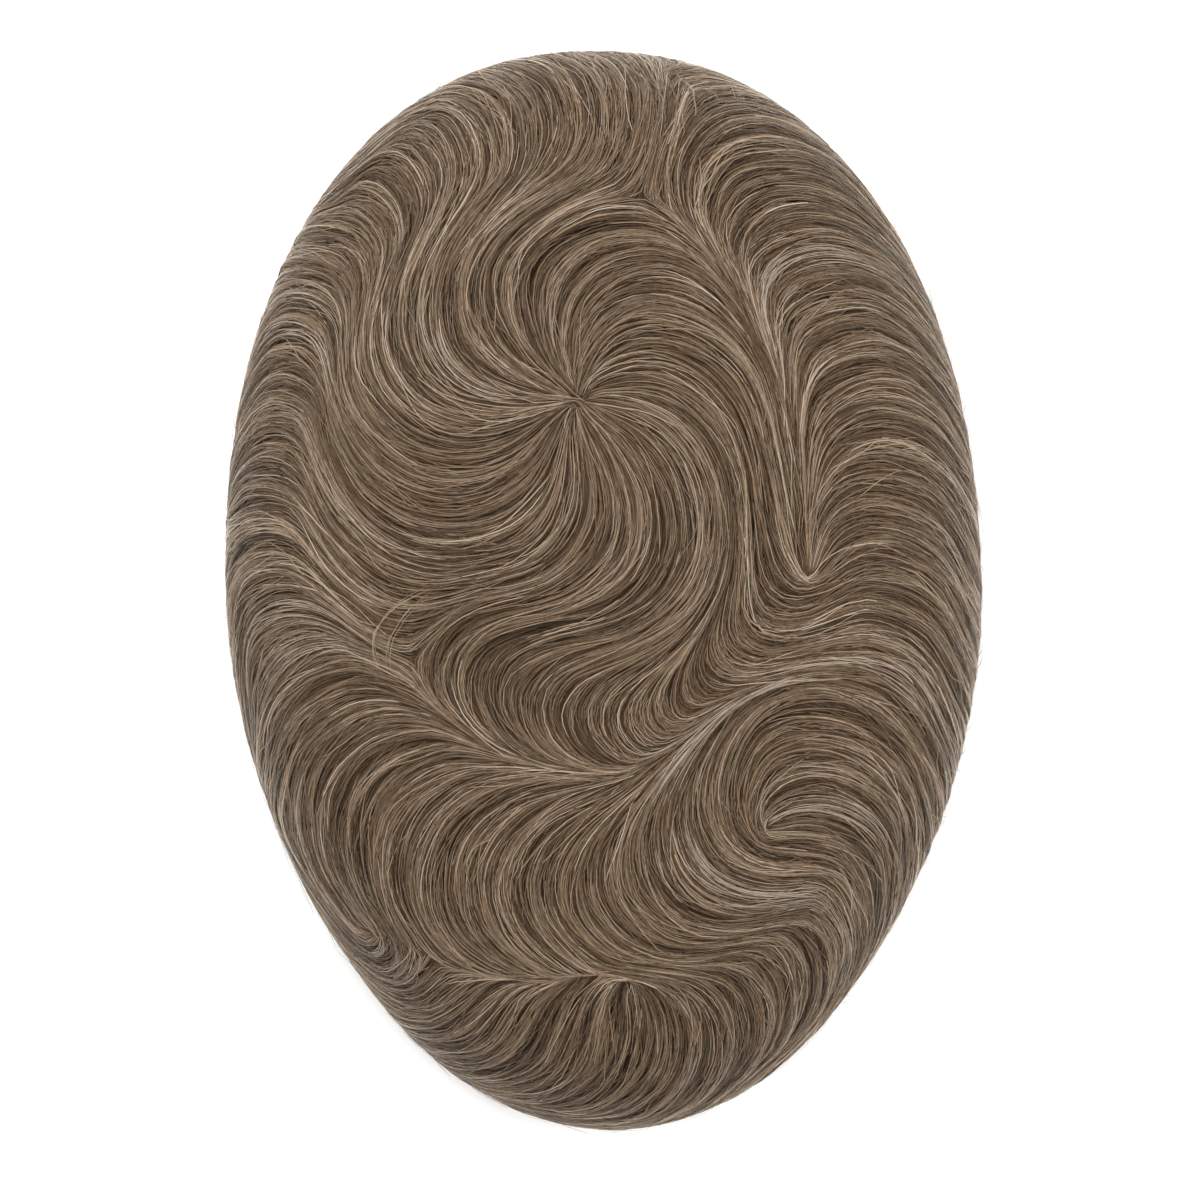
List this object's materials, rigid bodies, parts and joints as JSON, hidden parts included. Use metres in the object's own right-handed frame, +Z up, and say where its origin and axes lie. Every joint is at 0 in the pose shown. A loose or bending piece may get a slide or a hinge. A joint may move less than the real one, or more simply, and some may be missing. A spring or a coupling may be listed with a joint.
{
  "type": "toupee hairpiece",
  "caption": "Toupee of wavy ash-brown hair on a thin domed cap, with a clockwise whorl behind the crown and deep curved waves down to the rim.",
  "frame": {"origin": "on the surface that the rim rests on, under the middle of the hair's outline", "axes": "+Z up through the crown, +Y towards the back of the head, +X towards the wearer's left"},
  "size_m": [0.1686, 0.2402, 0.0706],
  "materials": {
    "cap_fabric": "matte fine mesh cloth",
    "hair": "soft satin ash-brown hair"
  },
  "bodies": {
    "root": {"base_cap": "cap_fabric", "hair": "hair"}
  },
  "joints": []
}
